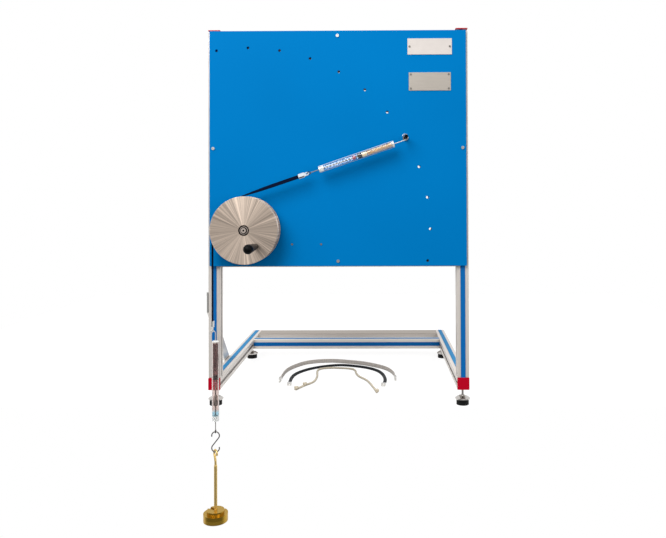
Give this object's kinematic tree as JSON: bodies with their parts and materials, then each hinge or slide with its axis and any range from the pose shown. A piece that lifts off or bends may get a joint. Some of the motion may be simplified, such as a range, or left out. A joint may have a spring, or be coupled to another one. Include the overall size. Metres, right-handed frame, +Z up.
{
  "type": "belt friction apparatus",
  "caption": "Bench stand with a blue perforated panel, a turned crank pulley, a belt between two tubular spring balances and a brass weight hanger, with spare belts",
  "frame": {"origin": "middle of the base on the bench plane that the four foot pads stand on", "axes": "X right as seen from the front, Y to the back, Z up"},
  "size_m": [0.6599, 0.7785, 1.2045],
  "materials": {
    "profile": "anodised",
    "bar": "plain",
    "cover": "satin",
    "cap": "gloss",
    "steel": "zinc plated",
    "panel": "satin",
    "white_sheet": "gloss",
    "silver_sheet": "brushed",
    "bearing": "dark shields",
    "turned": "turned",
    "grip": "gloss",
    "belt": "matt",
    "grey_belt": "matt",
    "bright": "bright",
    "tube": "clear",
    "white_cap": "gloss",
    "pointer": "gloss",
    "spring_pale": "bright",
    "spring_dark": "dull",
    "brass": "turned",
    "pad": "matt",
    "rope": "twisted"
  },
  "bodies": {
    "stand": {"left_upright": "profile", "right_upright": "profile", "left_side_beam": "profile", "right_side_beam": "profile", "rear_cross_beam": "profile", "rear_bar": "bar", "top_cross_beam": "profile", "bottom_cross_beam": "profile", "slot_covers": "cover", "upright_caps": "cap", "side_beam_caps": "cap", "left_brace": "steel", "brace_screws": "steel", "panel": "panel", "peg_bushes": "grip", "panel_screws": "steel", "white_plate": "white_sheet", "silver_plate": "silver_sheet", "small_screws": "steel", "axle": "steel", "axle_fasteners": "steel", "axle_spacer": "steel", "anchor_peg": "steel", "belt_wrap": "belt", "upper_tube": "tube", "upper_tube_caps": "white_cap", "upper_hook": "bright", "upper_spring": "spring_pale", "spare_flat_belt": "grey_belt", "spare_v_belt": "belt", "spare_rope": "rope", "spare_fittings": "bright"},
    "pulley": {"pulley": "turned", "bearings": "bearing", "crank_spindle": "steel"},
    "grip": {"crank_grip": "grip"},
    "upper_plunger": {"upper_rod": "bright", "upper_pointer": "pointer", "upper_clip": "bright", "belt_upper_run": "belt"},
    "hanging_belt": {"lower_clip": "bright", "belt_lower_run": "belt"},
    "lower_balance": {"lower_tube": "tube", "lower_tube_caps": "white_cap", "lower_hook": "bright", "lower_spring": "spring_dark"},
    "lower_plunger": {"lower_rod": "bright", "lower_pointer": "pointer"},
    "s_link": {"s_hook": "bright"},
    "hanger": {"weight_hanger": "brass"},
    "large_disc": {"large_weight": "brass"},
    "small_disc": {"small_weight": "brass"},
    "front_left_support": {"front_left_foot": "bright", "front_left_pad": "pad"},
    "front_right_support": {"front_right_foot": "bright", "front_right_pad": "pad"},
    "rear_left_support": {"rear_left_foot": "bright", "rear_left_pad": "pad"},
    "rear_right_support": {"rear_right_foot": "bright", "rear_right_pad": "pad"}
  },
  "joints": [
    {"name": "pulley_spin", "type": "hinge", "parent": "stand", "child": "pulley", "pos_m": [-0.223, -0.368, 0.44], "axis": [0, 1, 0], "continuous": true},
    {"name": "grip_spin", "type": "hinge", "parent": "pulley", "child": "grip", "pos_m": [-0.19345, -0.378, 0.40218], "axis": [0, 1, 0], "continuous": true},
    {"name": "belt_travel", "type": "slide", "parent": "stand", "child": "hanging_belt", "axis": [0, 0, -1], "range_m": [-0.01, 0.04], "stiffness_N_per_m": 225, "springref_m": -0.0282, "deforming": ["belt_lower_run"]},
    {"name": "upper_stretch", "type": "slide", "parent": "stand", "child": "upper_plunger", "axis": [-0.9468, 0, -0.3218], "range_m": [-0.01, 0.04], "deforming": ["upper_spring", "belt_upper_run"]},
    {"name": "lower_swing", "type": "hinge", "parent": "hanging_belt", "child": "lower_balance", "pos_m": [-0.304, -0.34201, 0.189], "axis": [0, 1, 0], "range_deg": [-20, 20]},
    {"name": "lower_stretch", "type": "slide", "parent": "lower_balance", "child": "lower_plunger", "axis": [0, 0, -1], "range_m": [-0.01, 0.04], "stiffness_N_per_m": 225, "springref_m": -0.0249, "deforming": ["lower_spring"]},
    {"name": "s_link_swing", "type": "hinge", "parent": "lower_plunger", "child": "s_link", "pos_m": [-0.297, -0.34201, -0.052], "axis": [0, 1, 0], "range_deg": [-25, 25]},
    {"name": "hanger_swing", "type": "hinge", "parent": "s_link", "child": "hanger", "pos_m": [-0.297, -0.34201, -0.0978], "axis": [1, 0, 0], "range_deg": [-25, 25]},
    {"name": "large_disc_lift", "type": "slide", "parent": "hanger", "child": "large_disc", "axis": [0, 0, 1], "range_m": [0, 0.08]},
    {"name": "small_disc_lift", "type": "slide", "parent": "large_disc", "child": "small_disc", "axis": [0, 0, 1], "range_m": [0, 0.03]},
    {"name": "front_left_height", "type": "slide", "parent": "stand", "child": "front_left_support", "axis": [0, 0, 1], "range_m": [-0.008, 0.008]},
    {"name": "front_right_height", "type": "slide", "parent": "stand", "child": "front_right_support", "axis": [0, 0, 1], "range_m": [-0.008, 0.008]},
    {"name": "rear_left_height", "type": "slide", "parent": "stand", "child": "rear_left_support", "axis": [0, 0, 1], "range_m": [-0.008, 0.008]},
    {"name": "rear_right_height", "type": "slide", "parent": "stand", "child": "rear_right_support", "axis": [0, 0, 1], "range_m": [-0.008, 0.008]}
  ],
  "couplings": [
    {"joint": "upper_stretch", "follows": "belt_travel", "ratio": 1}
  ]
}
